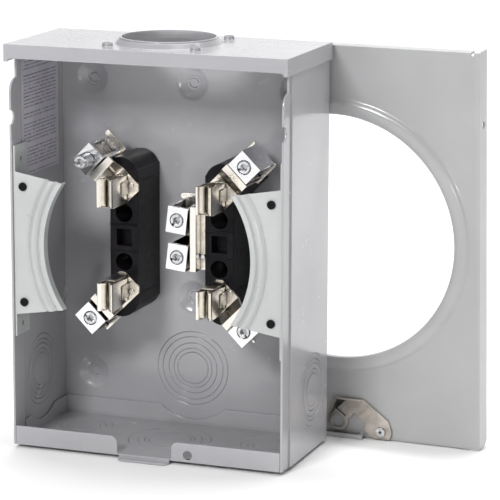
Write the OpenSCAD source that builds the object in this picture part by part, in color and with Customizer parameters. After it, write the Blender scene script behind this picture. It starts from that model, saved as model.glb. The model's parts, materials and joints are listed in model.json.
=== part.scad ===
// Meter socket enclosure: a steel box with four jaws for a plug-in meter, its lugs,
// its ringless cover, which stands behind the box, and the hasp that locks the cover.
// X is to the right, Y to the rear and Z up, from the centre of the box's base.
// The modules measure Y from the back wall's outer face, and in_frame() moves them.

/* [Box] */
// Width over the side walls
box_w = 190.5; // [180:0.5:220]
// Height from the base to the top of the cap
box_h = 266.7; // [255:0.1:300]
// Depth from the back wall to the front edges
box_d = 86; // [80:1:110]
// Thickness of the steel sheet
sheet = 1.5; // [1.2:0.1:2]
// Depth of the front strip that the cover's flanges fit over
joggle_strip = 14; // [10:1:20]
// How far that strip is set in
joggle = 1; // [0.5:0.1:1.2]

/* [Cap and base] */
// Height of the cap's front lip
cap_lip = 9.2; // [6:0.1:14]
// Height of the cap's side skirts
cap_skirt = 11.4; // [10:0.1:14]
// Overhang of the cap on every open side
cap_over = 1.6; // [1.5:0.1:2.5]
// Radius of the conduit hub opening
hub_r = 30.5; // [25:0.5:33]
// Spacing of the four hub screws, both ways
hub_pitch = 60.3; // [60:0.1:64]
// Height of the upturned lips of the base
base_lip = 12.7; // [9:0.1:16]

/* [Socket] */
// Height of the meter's axis above the base
meter_z = 135.3; // [125:0.1:150]
// Sideways distance from the meter's axis to each jaw
jaw_x = 34.5; // [32:0.1:37]
// Height from the meter's axis to each jaw
jaw_z = 34.5; // [32:0.1:37]
// Depth of the insulating blocks
block_d = 38.5; // [30:0.5:45]
// Distance from a jaw to the lug on its strap
lug_u = 28; // [28:0.1:31]
// Diameter of the lug screws
screw_d = 9.5; // [8:0.1:9.5]
// Inner radius of the two crescent brackets
crescent_r = 71.5; // [70:0.1:74]

/* [Cover] */
// Width over the flanges
cover_w = 199.5; // [195:0.5:204]
// Height of the cover's face
cover_h = 267; // [255:0.5:268]
// Depth of the side flanges
cover_flange = 14.9; // [10:0.1:18]
// Radius of the meter opening
opening_r = 83; // [78:0.5:84]
// Angle at which the cover leans on the back of the box
cover_lean = 3.75; // [3.5:0.05:5]
// Angle at which it is turned away from the box's right side
cover_turn = 3; // [0:0.5:6]
// Distance of the cover's centre from the box's centre
cover_x = 97.8; // [90:0.1:110]

/* [Hidden] */

$fn = 64;
eps = 0.01;
LEFT = -1;
RIGHT = 1;
UPPER = 1;
LOWER = -1;

paint = "#a9adb0";
paint_light = "#b8bcbc";
moulding = "#17141a";
tin = "#d8cfc0";
zinc = "#c9ccd0";
spring_steel = "#8d8780";

inner_w = box_w - 2 * sheet;
wall_top = box_h - sheet;
hub_y = -box_d / 2;
rim_h = 4.5;
rim_lip = 1.6;
dimple_r = 12;
dimple_out = 3;
dimple_sphere = 25.5;
foot_r = 5.4;
dimple_places = [
    [-72, 234.5], [0, 234.5], [72, 234.5], [-73, 31], [73, 31], [0, 89.5]
];
back_knockout_z = 40;
side_knockout_z = 41;
side_knockout_y = [-42, -29];

block_front = -sheet - block_d;
block_w = 19.8;
block_x = 33.6;
block_half_h = 38;
strap_t = 1.6;
strap_w = 19.6;
strap_front = block_front - strap_t;
crest_u = 8.3;
crest_start_u = 14.7;
crest_end_u = 19.7;
crest_front = block_front - 7;
tongue_back = -23.9;

collar_w = 17.4;
collar_u = 14;
collar_front = -49.5;
collar_wall = 1.9;
collar_plate = 3;
screw_len = 16;
screw_bore_gap = 0.04;
backed_out = 9.5;
loose_collar = [2.5, -3];
jaw_depth = 29.6;
spring_t = 0.7;

neutral_x = 7.6;
neutral_turn = 6.5;
neutral_z = [151.5, 126.9];
neutral_base_y = -37.2;

bracket_t = 1.2;
bracket_y = -box_d + 1.6 + bracket_t;
bracket_out = inner_w / 2 - joggle - 0.1;
bracket_half_angle = 46;
bracket_screw = [85.7, 38.4];

pivot = [30.7, 5.6];
ring_at = [0, 10.2];
ring_r = 7.2;
hasp_t = 1.5;
hasp_gap = 0.35;
cover_y = 1.65 + cover_h * sin(cover_lean);
cover_z = -1.8;
ledge_w = 37.4;
ledge_d = 6;

// ---------- helpers ----------

// Moves a sub-part from the back wall's Y to the frame of the whole object
module in_frame() {
    translate([0, box_d / 2, 0]) children();
}

// Passes its children through, mirrored left to right when side is LEFT
module flip_x(side) {
    if (side < 0) mirror([1, 0, 0]) children();
    else children();
}

// Passes its children through, mirrored top to bottom when end is LOWER
module flip_z(end) {
    if (end < 0) mirror([0, 0, 1]) children();
    else children();
}

// An outline in X and Z, made t thick towards the front from the plane y
module front_plate(y, t) {
    translate([0, y, 0]) rotate([90, 0, 0]) linear_extrude(t) children();
}

// An outline in Y and Z, made t thick to the right from the plane x
module side_plate(x, t) {
    translate([x, 0, 0]) rotate([90, 0, 90]) linear_extrude(t) children();
}

// A box given by its two corners
module block_between(a, b) {
    translate(a) cube(b - a);
}

// A cylinder along Y, from the plane y towards the front
module rod_y(x, z, r, y, len) {
    translate([x, y, z]) rotate([90, 0, 0]) cylinder(r = r, h = len);
}

// A rectangle with round corners, centred
module round_rect(w, h, r) {
    square([w - 2 * r, h], center = true);
    square([w, h - 2 * r], center = true);
    for (i = [-1, 1], j = [-1, 1])
        translate([i * (w / 2 - r), j * (h / 2 - r)]) circle(r);
}

// A point of a line, moved sideways by h, so that strips meet in mitred corners
function unit(v) = v / norm(v);
function left_of(v) = [-v[1], v[0]];
function moved_aside(points, i, h) =
    let (last = len(points) - 1)
    let (before = unit(i > 0 ? points[i] - points[i - 1] : points[1] - points[0]))
    let (after = i < last ? unit(points[i + 1] - points[i]) : before)
    let (out = unit(left_of(before) + left_of(after)))
    points[i] + out * h / (out * left_of(before));

// A strip of even thickness along a line of points
module ribbon(points, t) {
    last = len(points) - 1;
    polygon(concat(
        [for (i = [0 : last]) moved_aside(points, i, t / 2)],
        [for (i = [last : -1 : 0]) moved_aside(points, i, -t / 2)]
    ));
}

// A line that starts on the axis x = 0, with its mirror image before it
function both_sides(points) =
    concat([for (i = [len(points) - 1 : -1 : 1]) [-points[i][0], points[i][1]]],
           [for (i = [1 : len(points) - 1]) points[i]]);

// The cuts of a knockout: a thin gap with two ties at each radius, and every second
// ring set back by half the depth
module knockout_cuts(radii, depth) {
    for (i = [0 : len(radii) - 1])
        difference() {
            cylinder(r = radii[i] + 0.2, h = depth);
            translate([0, 0, -1]) cylinder(r = radii[i] - 0.2, h = depth + 2);
            rotate(i * 70 + 20)
                translate([-radii[i] - 1, -1.2, -1]) cube([2 * radii[i] + 2, 2.4, depth + 2]);
        }
    if (len(radii) > 1)
        for (i = [1 : 2 : len(radii) - 1])
            difference() {
                cylinder(r = radii[i], h = depth / 2);
                translate([0, 0, -1]) cylinder(r = radii[i - 1], h = depth + 2);
            }
}

// ---------- box ----------

// One side wall: a flat wall and a set-in front strip with a notch
module side_wall() {
    strip_back = -box_d + joggle_strip;
    set_back = 9;
    curve_z = box_h - 31.7;
    side_plate(box_w / 2 - sheet, sheet)
        translate([strip_back - 1, 0]) square([-strip_back + 1, wall_top]);
    side_plate(box_w / 2 - sheet - joggle, sheet) difference() {
        union() {
            translate([-box_d + set_back, 0]) square([joggle_strip - set_back + 1, wall_top]);
            translate([-box_d, 0]) square([set_back + 1, curve_z]);
            intersection() {
                translate([-box_d + set_back, curve_z]) circle(set_back);
                translate([-box_d, curve_z - 1]) square([set_back + 1, set_back + 2]);
            }
        }
        translate([-box_d + 0.2, meter_z + 83.5]) circle(4.8);
    }
}

// A pressed foot that stands out behind the back wall: a shallow dish with a flat end
module dimple_outside() {
    intersection() {
        translate([0, 0, dimple_out - sheet - dimple_sphere]) sphere(dimple_sphere + sheet);
        cylinder(r = dimple_r + 2, h = dimple_out);
    }
    cylinder(r = foot_r, h = dimple_out);
}

// The hollow inside that foot
module dimple_inside() {
    intersection() {
        translate([0, 0, dimple_out - sheet - dimple_sphere]) sphere(dimple_sphere);
        translate([0, 0, -sheet - eps]) cylinder(r = dimple_r + 2, h = dimple_out + 1);
    }
    translate([0, 0, -sheet]) cylinder(r = foot_r - 0.4, h = dimple_out);
}

module back_and_sides() {
    color(paint) difference() {
        union() {
            block_between([-box_w / 2, -sheet, 0], [box_w / 2, 0, wall_top]);
            for (side = [LEFT, RIGHT]) flip_x(side) side_wall();
            for (p = dimple_places) translate([p[0], -eps, p[1]]) rotate([-90, 0, 0]) dimple_outside();
        }
        for (p = dimple_places) {
            translate([p[0], 0, p[1]]) rotate([-90, 0, 0]) dimple_inside();
            translate([p[0], dimple_out - sheet - eps, p[1]]) rotate([-90, 0, 0])
                knockout_cuts([3.1], 0.4);
        }
        translate([0, -sheet - eps, back_knockout_z]) rotate([-90, 0, 0])
            knockout_cuts([11, 13.8, 17.4, 21.8, 25.4], 0.55);
        for (i = [0, 1]) flip_x([LEFT, RIGHT][i]) {
            translate([box_w / 2 - sheet - eps, side_knockout_y[i], side_knockout_z])
                rotate([0, 90, 0]) knockout_cuts([11, 14, 17.5, 20.5, 24], 0.4);
            translate([box_w / 2 + eps, side_knockout_y[i], side_knockout_z])
                rotate([0, -90, 0]) knockout_cuts([11, 14, 17.5, 20.5, 24], 0.4);
        }
        for (side = [LEFT, RIGHT], end = [LOWER, UPPER])
            rod_y(side * block_x, meter_z + end * 16.5, 2.4, 1, sheet + 2);
    }
}

// ---------- cap ----------

module top_cap() {
    half_w = box_w / 2 + cap_over + 0.15;
    front = -box_d - cap_over;
    lip_bottom = box_h - cap_lip;
    skirt_bottom = box_h - cap_skirt;
    bosses = [for (i = [-1, 1], j = [-1, 1]) [i * hub_pitch / 2, hub_y + j * hub_pitch / 2]];
    color(paint) difference() {
        union() {
            block_between([-half_w, front, wall_top], [half_w, 0, box_h]);
            block_between([-half_w, front, lip_bottom], [half_w, front + sheet, box_h]);
            for (side = [LEFT, RIGHT]) flip_x(side) {
                block_between([half_w - sheet, front, skirt_bottom], [half_w, 0, box_h]);
                front_plate(front + sheet, sheet) {
                    translate([half_w - 4.5, skirt_bottom + 3]) square([4.5, cap_lip - 1.6]);
                    translate([half_w - 3, skirt_bottom]) square([3, 5]);
                    translate([half_w - 3, skirt_bottom + 3]) circle(1.5);
                }
            }
            block_between([-inner_w / 2 + 2, -2 * sheet - 0.1, box_h - 14],
                          [inner_w / 2 - 2, -sheet - 0.1, box_h - 0.5]);
            translate([0, hub_y, box_h - eps]) {
                cylinder(r1 = hub_r + 4.5, r2 = hub_r + 1.9, h = rim_h - 1);
                cylinder(r = hub_r + 1.4, h = rim_h);
            }
            for (p = bosses) translate([p[0], p[1], box_h - eps]) cylinder(r1 = 3.7, r2 = 3.2, h = 2.6);
        }
        translate([0, hub_y, box_h - 10]) cylinder(r = hub_r, h = 20, $fn = 96);
        translate([0, hub_y, wall_top - eps])
            cylinder(r1 = hub_r + 3.1, r2 = hub_r, h = sheet + rim_h - rim_lip + eps, $fn = 96);
        for (p = bosses) translate([p[0], p[1], box_h - 5]) cylinder(r = 2.4, h = 10);
    }
}

// ---------- base ----------

// One upturned lip, from x = a to x = b, with its round corner at the tab's side
module base_lip_outline(a, b, r, side) {
    difference() {
        translate([a, 0]) square([b - a, base_lip]);
        translate([side < 0 ? b - r : a, base_lip - r]) difference() {
            translate([side < 0 ? eps : -eps, eps]) square([r, r]);
            translate([side < 0 ? 0 : r, 0]) circle(r);
        }
    }
}

module bottom_panel() {
    half_w = inner_w / 2 - joggle - 0.15;
    half_back = inner_w / 2 - 0.15;
    tab_left = -18.5;
    tab_right = 17;
    front = -box_d;
    color(paint) difference() {
        union() {
            block_between([-half_w, front, 0], [half_w, -sheet - 0.1, sheet]);
            block_between([-half_back, front + joggle_strip + 1.2, 0], [half_back, -sheet - 0.1, sheet]);
            front_plate(front + sheet, sheet) {
                base_lip_outline(-half_w, -20, 5.5, LEFT);
                base_lip_outline(17.8, half_w, 4.2, RIGHT);
            }
            front_plate(-sheet - 0.1, sheet) difference() {
                translate([-half_w, 0]) square([2 * half_w, 13.3]);
                translate([0, back_knockout_z]) circle(35.5);
            }
            for (i = [0, 1]) flip_x([LEFT, RIGHT][i])
                side_plate(half_back - sheet, sheet) difference() {
                    translate([front + joggle_strip + 1.2, 0])
                        square([box_d - joggle_strip - sheet - 1.3, 13.3]);
                    translate([side_knockout_y[i], side_knockout_z]) circle(34);
                }
            block_between([tab_left, front - sheet, -2.2], [tab_right, front, sheet]);
            translate([0, 0, -2.2]) linear_extrude(sheet) difference() {
                translate([tab_left, front - 6]) square([tab_right - tab_left, 6]);
                for (x = [tab_left, tab_right - 4]) translate([x, front - 6 - eps]) difference() {
                    translate([x < 0 ? -eps : eps, 0]) square(4);
                    translate([x < 0 ? 4 : 0, 4]) circle(4);
                }
            }
        }
        rod_y(29.2, 4.7, 3.1, front + sheet + 1, sheet + 2);
        translate([0, -43.5, sheet + eps]) rotate([180, 0, 0])
            knockout_cuts([14, 16.8, 21.5, 27.7], 0.6);
        for (x = [-67, 67]) translate([x, -32.5, sheet + eps]) rotate([180, 0, 0])
            knockout_cuts([11, 15, 19.5], 0.6);
    }
}

// ---------- crescent brackets ----------

// The pressed section of a crescent: radius and height in front of the plate's back face
module crescent_section() {
    t = bracket_t;
    r = crescent_r;
    ribbon([
        [r + t / 2, -5], [r + t / 2, t / 2], [r + 2.9, t / 2], [r + 4.5, t / 2 - 1.5],
        [r + 5.9, t / 2 + 0.4], [r + 7.5, t / 2 + 1.6], [r + 9.1, t / 2 + 0.4],
        [r + 10.8, t / 2 - 1.4], [r + 12.6, t / 2], [r + 15, t / 2]
    ], t);
}

// The bracket's outline from the front
module bracket_outline() {
    top_in = meter_z + 40.6;
    bottom_in = meter_z - 40.6;
    polygon([
        [50, top_in], [bracket_out, meter_z + 48.2],
        [bracket_out, meter_z - 47.3], [50, bottom_in]
    ]);
}

module bracket(side) {
    color(paint_light) flip_x(side) difference() {
        union() {
            intersection() {
                union() {
                    translate([0, bracket_y, meter_z]) rotate([90, bracket_half_angle, 0])
                        rotate_extrude(angle = 2 * bracket_half_angle, $fn = 128) crescent_section();
                    front_plate(bracket_y, bracket_t) difference() {
                        translate([60, meter_z - 60]) square([bracket_out - 60, 120]);
                        translate([0, meter_z]) circle(crescent_r + 14, $fn = 128);
                    }
                }
                front_plate(0, box_d) bracket_outline();
            }
            side_plate(bracket_out - bracket_t, bracket_t)
                translate([bracket_y - bracket_t, meter_z - 62]) square([20, 127]);
        }
        for (end = [LOWER, UPPER]) {
            rod_y(bracket_screw[0], meter_z + end * bracket_screw[1], 2, 0, box_d + 1);
            translate([bracket_out - 3, bracket_y + 9, meter_z + end * 55])
                rotate([0, 90, 0]) cylinder(r = 1.6, h = 5);
        }
    }
}

module bracket_rivets() {
    color(moulding)
    for (side = [LEFT, RIGHT], end = [LOWER, UPPER]) {
        x = side * bracket_screw[0];
        z = meter_z + end * bracket_screw[1];
        rod_y(x, z, 1.95, bracket_y + 1, bracket_t + 1.2);
        difference() {
            rod_y(x, z, 2.8, bracket_y - bracket_t, 1.4);
            rod_y(x, z, 1.3, bracket_y - bracket_t - 0.9, 2);
        }
        rod_y(x, z, 2.6, bracket_y + 1, 1);
    }
}

// ---------- insulating blocks ----------

// Places children at a jaw, with X along the strap and Z across it towards the middle
module at_jaw(side, end) {
    translate([side * jaw_x, 0, meter_z + end * jaw_z]) flip_x(side) flip_z(end) children();
}

module along_strap() {
    rotate([0, -45, 0]) children();
}

module block_outline() {
    reach = crest_end_u - strap_t - 0.5;
    translate([block_x - block_w / 2, meter_z - block_half_h]) square([block_w, 2 * block_half_h]);
    translate([block_x - block_w / 2, meter_z - 45.5]) square([12.3, 91]);
    for (end = [LOWER, UPPER])
        translate([jaw_x, meter_z + end * jaw_z]) rotate(end * 45) intersection() {
            union() {
                intersection() {
                    translate([-5.6, -strap_w / 2]) square([40, strap_w]);
                    translate([-18, 0]) circle(37.5);
                }
                translate([6, end * 3.9]) circle(12.3);
            }
            translate([-30, -30]) square([30 + reach, 60]);
        }
}

module insulating_block(side) {
    color(moulding) flip_x(side) difference() {
        union() {
            front_plate(-sheet, block_d) block_outline();
            for (end = [LOWER, UPPER])
                block_between([block_x - block_w / 2, block_front - 0.8, meter_z + end * 8.7 - 0.5],
                              [block_x + block_w / 2, block_front + 1, meter_z + end * 8.7 + 0.5]);
            if (side == RIGHT)
                block_between([18.2, neutral_base_y, 117.5], [block_x, -sheet, 160]);
        }
        for (end = [LOWER, UPPER]) {
            rod_y(block_x, meter_z + end * 16.5, 5.8, block_front + 26, 30);
            rod_y(block_x, meter_z + end * 16.5, 2.4, 0, block_d + 5);
            for (p = strap_rivet_places())
                rod_y(jaw_x + p[0], meter_z + end * (jaw_z + p[1]), 1.3, block_front + 6, 10);
        }
        block_between([block_x - 5.2, block_front - 3, meter_z - 5.6],
                      [block_x + 5.2, block_front + 10, meter_z + 5.6]);
        if (side == RIGHT)
            rod_y(22.05, 126.5, 1.3, neutral_base_y + 8, 12);
    }
}

module block_screws() {
    color(zinc)
    for (side = [LEFT, RIGHT], end = [LOWER, UPPER]) {
        x = side * block_x;
        z = meter_z + end * 16.5;
        rod_y(x, z, 2.3, 0, 15);
        difference() {
            rod_y(x, z, 4.6, block_front + 26, 3);
            block_between([x - 5, block_front + 22, z - 0.6], [x + 5, block_front + 24.2, z + 0.6]);
        }
    }
}

// ---------- straps ----------

// The two rivets of a strap, measured from its jaw, outwards and away from the middle
function strap_rivet_places() = [[-7, 1.2], [7.6, -3.2]];

module strap_foot_outline() {
    half = strap_w / 2;
    polygon([
        [crest_u, half], [-6.9, half], [-10.2, 6.8],
        [-9.9, -6.7], [-7, -half], [crest_u, -half]
    ]);
}

// The strap seen from its edge: from the foot up to the crest and down to the tongue
module strap_section() {
    foot = block_front - strap_t / 2;
    crest = crest_front + strap_t / 2;
    riser = crest_end_u - strap_t / 2;
    ribbon([
        [crest_u - 1, foot], [crest_u + 0.6, foot], [crest_start_u + 0.3, crest],
        [riser, crest], [riser, tongue_back]
    ], strap_t);
}

// The tongue that the wire is pressed on: a neck, a bar inside the collar and its end pads
module tongue_outline(neck, long_pad) {
    translate([crest_end_u - strap_t, -neck]) square([lug_u - crest_end_u, 2 * neck]);
    translate([lug_u - 4.6, -8.6]) square([9.2, 18.6]);
    translate([lug_u - 1, 10 + (long_pad ? 1.2 : 0)])
        round_rect(18.6, long_pad ? 4 : 1.8, long_pad ? 1.9 : 0.7);
    if (!long_pad) {
        translate([lug_u - 4.6, -10]) square([9.2, 2]);
        translate([lug_u - 1, -10]) round_rect(18.6, 1.8, 0.7);
    }
}

module strap(side, end) {
    half = strap_w / 2;
    loose = side == LEFT && end == UPPER;
    color(tin) difference() {
        at_jaw(side, end) along_strap() {
            front_plate(block_front, strap_t) strap_foot_outline();
            translate([0, 0, -half]) linear_extrude(strap_w) strap_section();
            front_plate(tongue_back, strap_t) tongue_outline(loose ? 3 : 5.5, loose);
        }
        for (p = strap_rivet_places())
            rod_y(side * (jaw_x + p[0]), meter_z + end * (jaw_z + p[1]), 1.3, -block_d / 2, 60);
    }
}

module strap_rivets() {
    color(tin)
    for (side = [LEFT, RIGHT], end = [LOWER, UPPER], p = strap_rivet_places()) {
        x = side * (jaw_x + p[0]);
        z = meter_z + end * (jaw_z + p[1]);
        rod_y(x, z, 1.25, block_front + 5, 5 + strap_t);
        rod_y(x, z, 1.7, strap_front, 0.9);
    }
}

// ---------- jaws ----------

// Both leaves seen from above: out from the foot to the lips, then folded in to the slot
module leaves_section() {
    y0 = strap_front - spring_t - 0.5;
    y1 = strap_front - jaw_depth;
    ribbon(both_sides([
        [0, y0], [3.7, y0], [5.25, y1 + 1.4], [4.85, y1 + 0.6], [4.1, y1 + 0.8],
        [1.15, y1 + 4.7], [1.15, y1 + 7.4]
    ]), 1);
}

module jaw_side_outline() {
    y0 = strap_front;
    y1 = y0 - jaw_depth - 1;
    polygon([
        [y0, -7.8], [y0 - 5, -7.8], [y0 - 13, -9.2], [y1, -9.2],
        [y1, 9.2], [y0 - 13, 9.2], [y0 - 5, 7.8], [y0, 7.8]
    ]);
}

module jaw(side, end) {
    color(tin) at_jaw(side, end) intersection() {
        translate([0, 0, -12]) linear_extrude(24) leaves_section();
        side_plate(-10, 20) jaw_side_outline();
    }
}

// The spring that grips the leaves from outside, with the plate that closes the inner end
module jaw_spring(side, end) {
    y0 = strap_front - spring_t / 2;
    color(spring_steel) at_jaw(side, end) {
        translate([0, 0, -4.5]) linear_extrude(9)
            ribbon(both_sides([[0, y0], [4.6, y0], [5.35, y0 - 12]]), spring_t);
        block_between([-2.2, y0 - spring_t / 2, -10.6], [2.2, y0 + spring_t / 2, -4]);
        block_between([-4.4, y0 - 22, -10.6], [4.4, y0 + spring_t / 2, -9.7]);
    }
}

// ---------- lugs ----------

// A folded collar, open along Z, with a tapped front plate and a window for the tongue
module collar_shape(window, slack) {
    back = tongue_back + collar_wall;
    difference() {
        block_between([-collar_u / 2, collar_front, -collar_w / 2],
                      [collar_u / 2, back, collar_w / 2]);
        block_between([-collar_u / 2 + collar_wall, collar_front + collar_plate, -collar_w],
                      [collar_u / 2 - collar_wall, tongue_back, collar_w]);
        block_between([-collar_u, tongue_back - strap_t - 0.4 - slack, -window],
                      [-collar_u / 2 + collar_wall + 1, tongue_back, window]);
        rod_y(0, 0, screw_d / 2 + screw_bore_gap, collar_front + collar_plate + 1, collar_plate + 2);
    }
}

// A lug screw with its slot, from its tip to its head
module screw_shape() {
    tip = collar_front - 0.5 + screw_len;
    difference() {
        union() {
            rod_y(0, 0, screw_d / 2, tip - 1.5, screw_len - 1.5);
            translate([0, tip, 0]) rotate([90, 0, 0])
                cylinder(r1 = screw_d / 2 - 1.6, r2 = screw_d / 2, h = 1.5);
        }
        block_between([-screw_d, collar_front - 3, -0.8], [screw_d, collar_front + 1.7, 0.8]);
        rod_y(0, 0, 2.2, collar_front + 2.5, 6);
    }
}

module at_lug(side, end) {
    at_jaw(side, end) along_strap() translate([lug_u, 0, 0]) children();
}

module collar(side, end) {
    loose = side == LEFT && end == UPPER;
    color(zinc) at_lug(side, end)
        if (loose) translate([0, loose_collar[0], loose_collar[1]]) collar_shape(6.5, loose_collar[0]);
        else collar_shape(6, 0);
}

module lug_screw(side, end, out, slot_angle) {
    color(zinc) at_lug(side, end) translate([0, -out, out > 0 ? loose_collar[1] : 0])
        rotate([0, slot_angle, 0]) screw_shape();
}

// ---------- neutral ----------

module at_neutral(i) {
    translate([neutral_x, 0, neutral_z[i]]) rotate([0, neutral_turn, 0])
        mirror([1, 0, 0]) children();
}

module neutral_strap() {
    bottom = 117.5;
    top = 160.5;
    right = block_x - block_w / 2 - 0.1;
    crest_left = 16;
    crest_right = 20.2;
    front = -47.6;
    color(tin) difference() {
        union() {
            block_between([crest_right - strap_t, neutral_base_y - strap_t, bottom],
                          [right, neutral_base_y, top - 6]);
            block_between([crest_right - strap_t, front, bottom],
                          [crest_right, neutral_base_y, top]);
            block_between([crest_left, front, bottom], [crest_right, front + strap_t, top]);
            block_between([crest_left, front, bottom],
                          [crest_left + strap_t, tongue_back, top]);
            front_plate(tongue_back, strap_t) {
                for (z = neutral_z) translate([8, z - 4.5]) square([9, 9]);
                translate([4.4, neutral_z[1] - 11.5])
                    square([6.4, neutral_z[0] - neutral_z[1] + 23]);
                for (z = [neutral_z[1] - 12, neutral_z[0] + 12])
                    translate([neutral_x, z]) round_rect(13.4, 4, 1.9);
            }
        }
        rod_y(22.05, 126.5, 1.3, 0, 60);
    }
}

module neutral_strap_screw() {
    color(zinc) {
        rod_y(22.05, 126.5, 1.25, neutral_base_y + 7, 7 + strap_t);
        rod_y(22.05, 126.5, 1.5, neutral_base_y - strap_t, 1.3);
    }
}

module neutral_collar(i) {
    color(zinc) at_neutral(i) collar_shape(7.5, 0);
}

module neutral_screw(i, slot_angle) {
    color(zinc) at_neutral(i) rotate([0, slot_angle, 0]) screw_shape();
}

// ---------- label ----------

module rating_label() {
    color("#b9b7c0") side_plate(-inner_w / 2 + 0.02, 0.25)
        translate([-68.5, meter_z + 41]) square([58, 77]);
}

// ---------- cover and hasp ----------

// Places the cover behind the box, leaning with its top near the back wall
module place_cover() {
    translate([cover_x, cover_y, cover_z]) rotate([cover_lean, 0, -cover_turn]) children();
}

// The drawn ring round the meter opening: radius and height in front of the face
module opening_ring_section() {
    r = opening_r;
    ribbon([
        [r + sheet / 2, -sheet / 2], [r + sheet / 2, 1.9], [r + 4.2, 3.2],
        [r + 6.6, 3.2], [r + 9, 1.2], [r + 11.5, -sheet / 2], [r + 13, -sheet / 2]
    ], sheet);
}

module cover() {
    half = cover_w / 2;
    opening_z = meter_z + 3.2;
    color(paint) place_cover() difference() {
        union() {
            front_plate(sheet, sheet) difference() {
                translate([-half, 0]) square([cover_w, cover_h]);
                translate([0, opening_z]) circle(opening_r + 12.4, $fn = 128);
            }
            translate([0, 0, opening_z]) rotate([90, 0, 0])
                rotate_extrude($fn = 128) opening_ring_section();
            for (side = [LEFT, RIGHT]) flip_x(side)
                side_plate(half - sheet, sheet) difference() {
                    square([cover_flange, cover_h]);
                    translate([cover_flange, 0]) rotate(45) square(5, center = true);
                }
            block_between([-half + 6, 0, cover_h - sheet], [half - 6, 8, cover_h]);
            block_between([-half + 8, 0, 0], [half - 8, 8, sheet]);
            block_between([-ledge_w / 2, -ledge_d, 1.4], [ledge_w / 2, sheet, 2.9]);
            block_between([-ledge_w / 2, -ledge_d, 0], [ledge_w / 2, -ledge_d + sheet, 2.9]);
        }
        for (side = [LEFT, RIGHT])
            translate([side * half, 7.8, meter_z + 83.5]) rotate([0, 90, 0])
                cylinder(r = 2.4, h = 8, center = true);
        for (side = [LEFT, RIGHT])
            block_between([side * (half - 5) - 1, -5, cover_h - 2.2], [side * (half - 5) + 1, 20, cover_h + 1]);
        rod_y(pivot[0], pivot[1], 2.55, sheet + 1, sheet + 3);
        block_between([-9, -ledge_d + sheet + 0.3, 1], [15.5, 0, 4]);
    }
}

// The hasp's outline from the front, with the pivot at its right end
module hasp_outline() {
    px = pivot[0];
    pz = pivot[1];
    difference() {
        union() {
            translate(pivot) circle(7.6);
            translate(ring_at) circle(ring_r);
            polygon([
                [px - 12, pz + 0.5], [px - 10.6, pz + 4.4], [px - 19.3, pz + 11.4],
                [px - 22.4, pz + 7], [ring_at[0] - ring_r, ring_at[1]],
                [px - 33.2, pz + 21.6], [px - 12.2, pz + 21.4], [px + 5.2, pz + 8],
                [px + 7.2, pz + 2.4], [px, pz - 5.2], [px - 7.4, pz - 4.1]
            ]);
        }
        translate(ring_at) circle(4.5);
        translate([px - 28.6, pz + 11.4]) rotate(-38) square([8.6, 1.1], center = true);
        translate([-50, -10]) square([100, 10]);
    }
}

module hasp() {
    color("#a09890") place_cover() difference() {
        union() {
            front_plate(-hasp_gap, hasp_t) hasp_outline();
            translate([pivot[0] - 30.4, -hasp_gap - 3, pivot[1] + 20.2]) cube([16.4, 3, 1.3]);
        }
        rod_y(pivot[0], pivot[1], 2.55, 2, 6);
    }
}

module hasp_rivet() {
    color(zinc) place_cover() difference() {
        union() {
            rod_y(pivot[0], pivot[1], 2.5, sheet + 0.5, sheet + 0.5 + hasp_gap * 2 + hasp_t);
            rod_y(pivot[0], pivot[1], 3.3, -hasp_t - 2 * hasp_gap, 1);
            rod_y(pivot[0], pivot[1], 3.6, sheet + 1.1, 1.1);
        }
        rod_y(pivot[0], pivot[1], 1.1, -hasp_t, 4);
    }
}

in_frame() back_and_sides();
in_frame() top_cap();
in_frame() bottom_panel();
in_frame() bracket(LEFT);  // left_bracket
in_frame() bracket(RIGHT);  // right_bracket
in_frame() bracket_rivets();
in_frame() insulating_block(LEFT);  // left_block
in_frame() insulating_block(RIGHT);  // right_block
in_frame() block_screws();
in_frame() strap(LEFT, UPPER);  // upper_left_strap
in_frame() strap(RIGHT, UPPER);  // upper_right_strap
in_frame() strap(LEFT, LOWER);  // lower_left_strap
in_frame() strap(RIGHT, LOWER);  // lower_right_strap
in_frame() jaw(LEFT, UPPER);  // upper_left_jaw
in_frame() jaw(RIGHT, UPPER);  // upper_right_jaw
in_frame() jaw(LEFT, LOWER);  // lower_left_jaw
in_frame() jaw(RIGHT, LOWER);  // lower_right_jaw
in_frame() jaw_spring(LEFT, UPPER);  // upper_left_spring
in_frame() jaw_spring(RIGHT, UPPER);  // upper_right_spring
in_frame() jaw_spring(LEFT, LOWER);  // lower_left_spring
in_frame() jaw_spring(RIGHT, LOWER);  // lower_right_spring
in_frame() collar(LEFT, UPPER);  // upper_left_collar
in_frame() collar(RIGHT, UPPER);  // upper_right_collar
in_frame() collar(LEFT, LOWER);  // lower_left_collar
in_frame() collar(RIGHT, LOWER);  // lower_right_collar
in_frame() lug_screw(LEFT, UPPER, backed_out, 50);  // upper_left_screw
in_frame() lug_screw(RIGHT, UPPER, 0, 20);  // upper_right_screw
in_frame() lug_screw(LEFT, LOWER, 0, 70);  // lower_left_screw
in_frame() lug_screw(RIGHT, LOWER, 0, -15);  // lower_right_screw
in_frame() strap_rivets();
in_frame() neutral_strap();
in_frame() neutral_strap_screw();
in_frame() neutral_collar(0);  // upper_neutral_collar
in_frame() neutral_collar(1);  // lower_neutral_collar
in_frame() neutral_screw(0, 55);  // upper_neutral_screw
in_frame() neutral_screw(1, 30);  // lower_neutral_screw
in_frame() rating_label();
in_frame() cover();
in_frame() hasp();
in_frame() hasp_rivet();
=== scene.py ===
"""Meter socket enclosure: materials, fine details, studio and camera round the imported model."""

import json
import math

import bmesh
import bpy
from mathutils import Matrix, Vector


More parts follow.
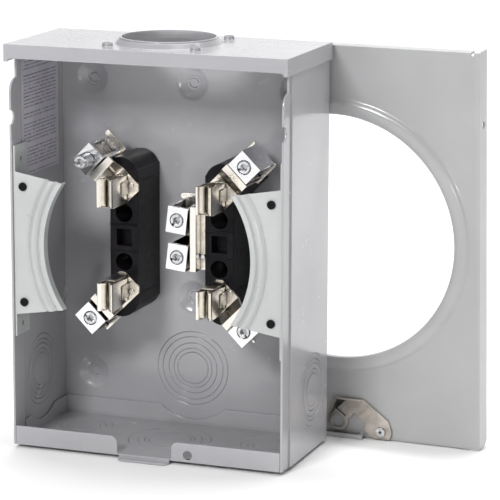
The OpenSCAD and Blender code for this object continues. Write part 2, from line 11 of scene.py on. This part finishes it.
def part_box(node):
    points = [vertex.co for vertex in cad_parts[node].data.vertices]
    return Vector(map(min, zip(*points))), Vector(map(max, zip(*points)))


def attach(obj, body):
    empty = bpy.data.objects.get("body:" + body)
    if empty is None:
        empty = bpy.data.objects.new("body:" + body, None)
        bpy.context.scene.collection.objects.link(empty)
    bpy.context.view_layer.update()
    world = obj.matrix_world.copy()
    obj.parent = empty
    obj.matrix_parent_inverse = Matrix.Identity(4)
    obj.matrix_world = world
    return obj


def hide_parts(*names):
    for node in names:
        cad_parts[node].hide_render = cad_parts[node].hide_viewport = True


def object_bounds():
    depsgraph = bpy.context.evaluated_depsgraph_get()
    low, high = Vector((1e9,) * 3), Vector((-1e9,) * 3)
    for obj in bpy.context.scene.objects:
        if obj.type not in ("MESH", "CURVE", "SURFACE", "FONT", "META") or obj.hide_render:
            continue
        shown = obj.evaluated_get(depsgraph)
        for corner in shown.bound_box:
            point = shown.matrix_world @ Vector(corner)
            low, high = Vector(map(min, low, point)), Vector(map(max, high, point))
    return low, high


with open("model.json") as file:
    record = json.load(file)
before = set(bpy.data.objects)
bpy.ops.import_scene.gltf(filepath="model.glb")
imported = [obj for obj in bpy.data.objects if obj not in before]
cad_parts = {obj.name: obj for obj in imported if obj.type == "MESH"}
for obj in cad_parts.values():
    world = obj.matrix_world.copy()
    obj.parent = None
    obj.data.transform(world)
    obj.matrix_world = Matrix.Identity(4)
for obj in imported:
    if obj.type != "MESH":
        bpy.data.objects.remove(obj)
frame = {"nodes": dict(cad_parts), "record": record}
cad_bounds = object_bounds()

MM = 0.001
NODES = frame["nodes"]
RECORD = frame["record"]


# ---------------------------------------------------------------- materials

class Graph:
    """A node material: a Principled shader and small helpers that add nodes to it."""

    def __init__(self, name, **sockets):
        self.material = bpy.data.materials.new(name)
        self.material.use_nodes = True
        self.nodes = self.material.node_tree.nodes
        self.nodes.clear()
        self.output = self.add("OutputMaterial")
        self.shader = self.add("BsdfPrincipled", **sockets)
        self.wire(self.shader.outputs["BSDF"], self.output.inputs["Surface"])
        self.place = self.add("TexCoord").outputs["Object"]

    def add(self, kind, settings=(), **sockets):
        """A node of that kind; an underscore in a socket's name stands for a space."""
        node = self.nodes.new("ShaderNode" + kind)
        for key, value in settings:
            setattr(node, key, value)
        for key, value in sockets.items():
            self.feed(node.inputs[key.replace("_", " ")], value)
        return node

    def wire(self, output, socket):
        self.material.node_tree.links.new(output, socket)

    def feed(self, socket, value):
        if isinstance(value, bpy.types.NodeSocket):
            self.wire(value, socket)
        else:
            socket.default_value = value

    def scaled(self, x, y, z):
        """The object's coordinates, stretched by a factor along each axis."""
        node = self.add("Mapping", Vector=self.place)
        node.inputs["Scale"].default_value = (x, y, z)
        return node.outputs["Vector"]

    def noise(self, per_metre, detail=2.0, rough=0.5, place=None, warp=0.0):
        """Soft noise from 0 to 1, with that many features in a metre."""
        node = self.add("TexNoise", Vector=place or self.place, Scale=per_metre,
                        Detail=detail, Roughness=rough, Distortion=warp)
        return node.outputs["Fac"]

    def ramp(self, value, low, high):
        """A smooth step from 0 at low to 1 at high."""
        node = self.add("MapRange", (("interpolation_type", "SMOOTHSTEP"),), Value=value)
        node.inputs["From Min"].default_value = low
        node.inputs["From Max"].default_value = high
        return node.outputs["Result"]

    def span(self, value, low, high):
        """0 to 1 mapped onto low to high."""
        node = self.add("MapRange", Value=value)
        node.inputs["To Min"].default_value = low
        node.inputs["To Max"].default_value = high
        return node.outputs["Result"]

    def maths(self, operation, a, b=0.0):
        node = self.add("Math", (("operation", operation),))
        self.feed(node.inputs[0], a)
        self.feed(node.inputs[1], b)
        return node.outputs["Value"]

    def mix(self, amount, a, b):
        """Colour a at 0 and colour b at 1."""
        node = self.add("Mix", (("data_type", "RGBA"),))
        self.feed(node.inputs[0], amount)
        self.feed(node.inputs[6], a)
        self.feed(node.inputs[7], b)
        return node.outputs[2]

    def axes(self):
        """The object's three coordinates, apart."""
        node = self.add("SeparateXYZ", Vector=self.place)
        return node.outputs["X"], node.outputs["Y"], node.outputs["Z"]

    def share(self, value, factor):
        """The value times a plain number."""
        return self.maths("MULTIPLY", value, factor)

    def edge_sharpness(self):
        """How sharp the surface bends outwards: 0.5 on flats and more on edges."""
        return self.add("NewGeometry").outputs["Pointiness"]

    def painted_crevice_shade(self, reach_mm):
        """A mask for painted shade: 1 in corners and gaps narrower than the reach, 0 on open
        surfaces.
        """
        node = self.add("AmbientOcclusion", (("samples", 8),), Distance=reach_mm * MM)
        return self.ramp(node.outputs["AO"], 0.85, 0.25)

    def bump(self, height, strength, depth_mm, before=None):
        """A normal that follows the height, on top of the one before."""
        node = self.add("Bump", Height=height, Strength=strength, Distance=depth_mm * MM)
        if before is not None:
            self.wire(before, node.inputs["Normal"])
        return node.outputs["Normal"]

    def finish(self, color, roughness, normal):
        """Wires the results into the shader and hands over the material."""
        self.feed(self.shader.inputs["Base Color"], color)
        if roughness is not None:
            self.feed(self.shader.inputs["Roughness"], roughness)
        self.feed(self.shader.inputs["Normal"], normal)
        return self.material


def rgb(r, g, b):
    """An opaque colour."""
    return (r, g, b, 1.0)


def shaded(color, factor):
    """The colour made darker or lighter by a factor, no lighter than white."""
    return rgb(*[min(1, c * factor) for c in color])


def painted_steel(name, color, gloss):
    """Baked enamel on steel sheet: orange peel, faint cloudiness, lighter on edges, painted shade
    in corners.
    """
    g = Graph(name, Coat_Weight=0.5, Coat_Roughness=0.1)
    cloud = g.ramp(g.noise(14, 3, 0.5), 0.3, 0.7)
    fleck = g.ramp(g.noise(900, 2, 0.6), 0.45, 0.75)
    edge = g.ramp(g.edge_sharpness(), 0.52, 0.62)
    body = g.mix(cloud, shaded(color, 0.93), shaded(color, 1.05))
    body = g.mix(g.share(fleck, 0.12), body, shaded(color, 0.8))
    # Painted shade: the paint is darkened in corners and gaps.
    body = g.mix(g.share(g.painted_crevice_shade(5), 0.3), body, shaded(color, 0.35))
    body = g.mix(g.share(edge, 0.3), body, shaded(color, 1.5))
    normal = g.bump(g.noise(40, 1, 0.4), 0.25, 0.6)
    normal = g.bump(g.noise(420, 2, 0.45), 0.22, 0.12, normal)
    rough = g.span(g.noise(60, 3, 0.6), gloss - 0.04, gloss + 0.08)
    return g.finish(body, rough, normal)


def phenolic(name):
    """Moulded black phenolic: mottled gloss, faint flow marks and fine pits."""
    g = Graph(name, Specular_IOR_Level=0.16)
    mottle = g.ramp(g.noise(160, 4, 0.65, warp=0.6), 0.35, 0.7)
    dust = g.ramp(g.noise(1700, 2, 0.7), 0.66, 0.8)
    flow = g.noise(1.0, 3, 0.5, g.scaled(70, 70, 260), 0.4)
    body = g.mix(mottle, rgb(0.0025, 0.002, 0.003), rgb(0.008, 0.0065, 0.0095))
    body = g.mix(g.share(dust, 0.25), body, rgb(0.035, 0.032, 0.038))
    normal = g.bump(flow, 0.35, 0.25)
    normal = g.bump(g.noise(1300, 3, 0.6), 0.25, 0.06, normal)
    return g.finish(body, g.span(g.noise(210, 3, 0.6), 0.28, 0.5), normal)


def plated(name, light, dark, low, high, grain=(60, 60, 900), blotch=70):
    """Plated metal: drawn grain, blotches of tarnish, bright edges, painted shade in crevices."""
    g = Graph(name, Metallic=1.0)
    blotches = g.ramp(g.noise(blotch, 4, 0.6, warp=0.8), 0.34, 0.68)
    streaks = g.noise(1.0, 3, 0.6, g.scaled(*grain))
    edge = g.ramp(g.edge_sharpness(), 0.52, 0.6)
    body = g.mix(blotches, rgb(*dark), rgb(*light))
    body = g.mix(g.share(g.ramp(streaks, 0.45, 0.75), 0.35), body, shaded(dark, 0.72))
    body = g.mix(g.share(edge, 0.5), body, shaded(light, 1.15))
    # Painted shade: the metal is darkened almost to black in corners and gaps.
    body = g.mix(g.share(g.painted_crevice_shade(3.5), 0.75), body, shaded(dark, 0.14))
    wear = g.maths("ADD", g.share(streaks, 0.6), g.share(blotches, 0.4))
    normal = g.bump(streaks, 0.3, 0.03)
    normal = g.bump(g.noise(260, 3, 0.5), 0.3, 0.08, normal)
    return g.finish(body, g.span(wear, low, high), normal)


def printed_paper(name):
    """A printed paper label: lines of plain dashes, with no letters in them."""
    row_mm = 2.3
    g = Graph(name, Roughness=0.55)
    x, y, z = g.axes()
    row = g.share(z, 1 / (row_mm * MM))
    in_row = g.maths("FRACT", row)
    row_number = g.maths("FLOOR", row)
    line = g.maths("MULTIPLY", g.ramp(in_row, 0.22, 0.32),
                   g.maths("SUBTRACT", 1.0, g.ramp(in_row, 0.62, 0.72)))
    dash = g.add("CombineXYZ", X=g.share(y, 620.0), Y=g.share(row_number, 7.3))
    dashes = g.ramp(g.noise(1.0, 2, 0.8, dash.outputs["Vector"]), 0.42, 0.5)
    row_seed = g.add("CombineXYZ", X=g.share(row_number, 3.7), Y=0.0)
    shown = g.maths("GREATER_THAN", g.noise(1.0, 1, 0.5, row_seed.outputs["Vector"]), 0.42)
    low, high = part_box("rating_label")
    across = g.maths("DIVIDE", g.maths("SUBTRACT", y, low.y), high.y - low.y)
    margin = g.maths("MULTIPLY", g.ramp(across, 0.05, 0.07),
                     g.maths("SUBTRACT", 1.0, g.ramp(across, 0.93, 0.95)))
    ink = g.maths("MULTIPLY", g.maths("MULTIPLY", line, dashes),
                  g.maths("MULTIPLY", margin, shown))
    paper = g.mix(g.ramp(g.noise(45, 3, 0.5), 0.3, 0.7),
                  rgb(0.50, 0.48, 0.54), rgb(0.58, 0.56, 0.61))
    body = g.mix(g.share(ink, 0.8), paper, rgb(0.10, 0.09, 0.12))
    normal = g.bump(g.noise(900, 3, 0.6), 0.2, 0.05)
    return g.finish(body, g.span(g.noise(80, 2, 0.5), 0.45, 0.6), normal)


MATERIALS = {
    "grey_paint": painted_steel("grey_paint", (0.365, 0.364, 0.382), 0.23),
    "cover_paint": painted_steel("cover_paint", (0.385, 0.385, 0.39), 0.3),
    "bracket_paint": painted_steel("bracket_paint", (0.47, 0.485, 0.48), 0.28),
    "black_rivet": phenolic("black_rivet"),
    "black_moulding": phenolic("black_moulding"),
    "zinc_screw": plated("zinc_screw", (0.80, 0.80, 0.82), (0.52, 0.53, 0.55),
                         0.16, 0.42, blotch=240),
    "tinned_metal": plated("tinned_metal", (0.86, 0.82, 0.755), (0.70, 0.655, 0.585),
                           0.14, 0.30, (240, 240, 40), 110),
    "spring_steel": plated("spring_steel", (0.55, 0.52, 0.48), (0.30, 0.28, 0.25),
                           0.2, 0.4),
    "zinc_collar": plated("zinc_collar", (0.90, 0.90, 0.92), (0.74, 0.74, 0.77),
                          0.14, 0.30, blotch=150),
    "label_paper": printed_paper("label_paper"),
    "hasp_steel": plated("hasp_steel", (0.66, 0.60, 0.54), (0.42, 0.38, 0.34),
                         0.26, 0.5, (90, 500, 90), 60),
}

# ---------------------------------------------------------------- carried-over nodes

# How wide the edges of each finish are rounded. The collars stay sharper, because wider
# edges on them reached into their screws.
EDGE_MM = {
    "grey_paint": 0.35, "cover_paint": 0.35, "bracket_paint": 0.3, "black_rivet": 0.25,
    "black_moulding": 0.4, "zinc_screw": 0.2, "tinned_metal": 0.25, "spring_steel": 0.2,
    "zinc_collar": 0.15, "label_paper": 0.05, "hasp_steel": 0.3,
}


def add_bevel(piece, width_mm, from_degrees):
    """Rounds the edges that bend more than the angle."""
    bevel = piece.modifiers.new("edges", "BEVEL")
    bevel.width = width_mm * MM
    bevel.segments = 2
    bevel.limit_method = "ANGLE"
    bevel.angle_limit = math.radians(from_degrees)
    return bevel


def round_edges(piece, width_mm):
    """Joins split vertices, merges flat faces and rounds the sharp edges."""
    weld = piece.modifiers.new("weld", "WELD")
    weld.merge_threshold = 0.002 * MM
    flat = piece.modifiers.new("flat", "DECIMATE")
    flat.decimate_type = "DISSOLVE"
    flat.angle_limit = math.radians(0.5)
    bevel = add_bevel(piece, width_mm, 40)
    bevel.use_clamp_overlap = False
    bevel.loop_slide = False
    bevel.miter_outer = "MITER_ARC"
    shade = piece.modifiers.new("shade", "WEIGHTED_NORMAL")
    shade.keep_sharp = False
    shade.weight = 100


def smooth(mesh):
    """Shades every face smooth."""
    mesh.polygons.foreach_set("use_smooth", [True] * len(mesh.polygons))


for part in RECORD["subparts"]:
    node = NODES[part["node"]]
    slot = part["material_slot"]
    node.data.materials.clear()
    node.data.materials.append(MATERIALS[slot])
    if node.data.has_custom_normals:
        with bpy.context.temp_override(object=node, active_object=node, selected_objects=[node]):
            bpy.ops.mesh.customdata_custom_splitnormals_clear()
    smooth(node.data)
    round_edges(node, EDGE_MM[slot])


# ---------------------------------------------------------------- detailed lug screws

def new_object(name, mesh, material=None):
    """An object in the scene with that mesh."""
    piece = bpy.data.objects.new(name, mesh)
    bpy.context.scene.collection.objects.link(piece)
    if material is not None:
        mesh.materials.append(material)
    return piece


def closed_mesh(name, rings):
    """A closed mesh through rings of points, each with the same number of points."""
    bm = bmesh.new()
    rows = [[bm.verts.new(point) for point in ring] for ring in rings]
    for a, b in zip(rows, rows[1:]):
        for i in range(len(a)):
            j = (i + 1) % len(a)
            bm.faces.new((a[i], a[j], b[j], b[i]))
    bm.faces.new(list(reversed(rows[0])))
    bm.faces.new(rows[-1])
    bmesh.ops.recalc_face_normals(bm, faces=bm.faces[:])
    mesh = bpy.data.meshes.new(name)
    bm.to_mesh(mesh)
    bm.free()
    return mesh


def circle_ring(centre, radius, y, count=40):
    """Points round a circle that faces along Y."""
    angles = [2 * math.pi * i / count for i in range(count)]
    return [(centre.x + radius * math.cos(a), y, centre.z + radius * math.sin(a))
            for a in angles]


def carve(piece, cutters):
    """Cuts the meshes out of the piece and keeps only the result."""
    for cutter in cutters:
        tool = new_object("tool", cutter)
        cut = piece.modifiers.new("cut", "BOOLEAN")
        cut.operation = "DIFFERENCE"
        cut.solver = "EXACT"
        cut.object = tool
        graph = bpy.context.evaluated_depsgraph_get()
        result = bpy.data.meshes.new_from_object(piece.evaluated_get(graph))
        piece.modifiers.clear()
        piece.data = result
        bpy.data.objects.remove(tool)


def threaded_rings(centre, radius, front, tip):
    """The outline of a set screw: a chamfered end, the thread and a tapered tip."""
    pitch, depth = 1.5875 * MM, 0.62 * MM
    around, rows_per_turn = 48, 10
    chamfer, taper = 0.7 * MM, 1.5 * MM
    rows = int((tip - front) / pitch * rows_per_turn)
    rings = []
    for row in range(rows + 1):
        y = front + (tip - front) * row / rows
        limit = min(radius, radius - chamfer + y - front, radius - taper + tip - y)
        ring = []
        for i in range(around):
            angle = 2 * math.pi * i / around
            phase = (y / pitch + i / around) % 1.0
            cut = min(1.0, max(0.0, 1.25 - abs(2 * phase - 1) * 1.7))
            r = min(radius - depth * cut, limit)
            ring.append((centre.x + r * math.cos(angle), y, centre.z + r * math.sin(angle)))
        rings.append(ring)
    return rings


def slot_cutter(centre, width, length, front, depth, angle):
    """A bar across the screw's end, at that angle from level."""
    along = Vector((math.cos(angle), 0, math.sin(angle))) * length / 2
    across = Vector((-math.sin(angle), 0, math.cos(angle))) * width / 2
    corners = [along + across, across - along, -along - across, along - across]
    return closed_mesh("slot", [[(centre.x + c.x, y, centre.z + c.z) for c in corners]
                                for y in (front - 1 * MM, front + depth)])


# How far each screw's slot is turned from level, in degrees
SLOT_ANGLES = {
    "upper_left_screw": 5, "upper_right_screw": 25, "lower_left_screw": -25,
    "lower_right_screw": -60, "upper_neutral_screw": 48, "lower_neutral_screw": 23,
}


def add_lug_screw(name, slot_degrees):
    """A threaded screw with a slot and a cup, just inside the CAD screw's outline."""
    low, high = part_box(name)
    centre = (low + high) / 2
    radius = (high.x - low.x) / 2 - 0.10 * MM
    front, tip = low.y + 0.02 * MM, high.y - 0.02 * MM
    mesh = closed_mesh(name, threaded_rings(centre, radius, front, tip))
    piece = new_object(name + "_detail", mesh, MATERIALS["zinc_screw"])
    cup = closed_mesh("cup", [circle_ring(centre, 2.55 * MM, front - 1 * MM),
                              circle_ring(centre, 2.3 * MM, front + 1.2 * MM),
                              circle_ring(centre, 1.7 * MM, front + 3 * MM)])
    slot = slot_cutter(centre, 1.6 * MM, 12 * MM, front, 2.2 * MM,
                       math.radians(slot_degrees))
    carve(piece, [cup, slot])
    add_bevel(piece, 0.12, 50)
    smooth(piece.data)
    piece.data.set_sharp_from_angle(angle=math.radians(38))
    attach(piece, name)
    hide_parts(name)


for screw_name, screw_angle in SLOT_ANGLES.items():
    add_lug_screw(screw_name, screw_angle)


# ---------------------------------------------------------------- studio

def pale_floor(name):
    """Plain pale paper."""
    g = Graph(name, Roughness=0.75, Specular_IOR_Level=0.2)
    shade = g.ramp(g.noise(3, 3, 0.5), 0.3, 0.7)
    body = g.mix(shade, rgb(0.90, 0.90, 0.90), rgb(0.93, 0.93, 0.93))
    return g.finish(body, None, g.bump(g.noise(500, 2, 0.5), 0.1, 0.1))


def add_floor():
    """A floor that curves up into a wall far behind the object."""
    floor_z = cad_bounds[0][2] - 0.0001
    front, bend, radius, back = -5.0, 2.0, 1.5, 3.5
    profile = [(front, floor_z), (bend, floor_z)]
    steps = 24
    for i in range(1, steps + 1):
        angle = math.pi / 2 * i / steps
        profile.append((bend + radius * math.sin(angle), floor_z + radius * (1 - math.cos(angle))))
    profile.append((back, floor_z + 5.0))
    mesh = bpy.data.meshes.new("floor")
    half = 6.0
    verts = [(x, y, z) for y, z in profile for x in (-half, half)]
    faces = [(2 * i, 2 * i + 1, 2 * i + 3, 2 * i + 2) for i in range(len(profile) - 1)]
    mesh.from_pydata(verts, [], faces)
    smooth(mesh)
    floor = new_object("floor", mesh, pale_floor("floor_paper"))


def add_light(name, place, target, size, watts):
    """A soft rectangular lamp that faces the target."""
    data = bpy.data.lights.new(name, "AREA")
    data.shape = "RECTANGLE"
    data.size, data.size_y = size
    data.energy = watts
    lamp = bpy.data.objects.new(name, data)
    lamp.location = place
    lamp.rotation_euler = (Vector(target) - Vector(place)).to_track_quat("-Z", "Y").to_euler()
    bpy.context.scene.collection.objects.link(lamp)


def add_camera():
    """The photo's viewpoint: its place, its turn to the right, its tilt down and its roll."""
    place = (0.6410, -1.5917, 0.4946)
    yaw, pitch, roll = -0.35211, 0.20935, 0.00344
    forward = Vector((math.sin(yaw) * math.cos(pitch),
                      math.cos(yaw) * math.cos(pitch),
                      -math.sin(pitch)))
    level = Vector((math.cos(yaw), -math.sin(yaw), 0))
    upright = level.cross(forward)
    right = math.cos(roll) * level + math.sin(roll) * upright
    up = -math.sin(roll) * level + math.cos(roll) * upright
    data = bpy.data.cameras.new("camera")
    data.sensor_width = 36
    data.lens = 192.51
    data.clip_end = 50
    camera = bpy.data.objects.new("camera", data)
    turn = Matrix((right, up, -forward)).transposed().to_4x4()
    camera.matrix_world = Matrix.Translation(place) @ turn
    bpy.context.scene.collection.objects.link(camera)
    bpy.context.scene.camera = camera


def add_studio():
    """Dim surroundings, a lamp above, a main lamp, two weak ones and one for the backdrop."""
    world = bpy.data.worlds.new("studio")
    bpy.context.scene.world = world
    world.use_nodes = True
    background = world.node_tree.nodes["Background"]
    background.inputs["Color"].default_value = rgb(1, 1, 1)
    background.inputs["Strength"].default_value = 0.12
    middle = (0.05, 0.0, 0.13)
    add_light("top", (0.1, 0.25, 1.7), middle, (1.6, 1.5), 24)
    add_light("key", (-0.30, -1.86, 1.25), middle, (0.5, 0.4), 29)
    add_light("side", (1.9, -0.7, 0.9), middle, (0.8, 0.8), 4)
    add_light("front", (0.84, -1.9, 0.2), middle, (0.16, 0.16), 4)
    add_light("backdrop", (0.0, 0.9, 2.6), (0.0, 3.4, 0.6), (4.0, 1.0), 95)
    bpy.context.scene.view_settings.view_transform = "Standard"


add_floor()
add_camera()
add_studio()
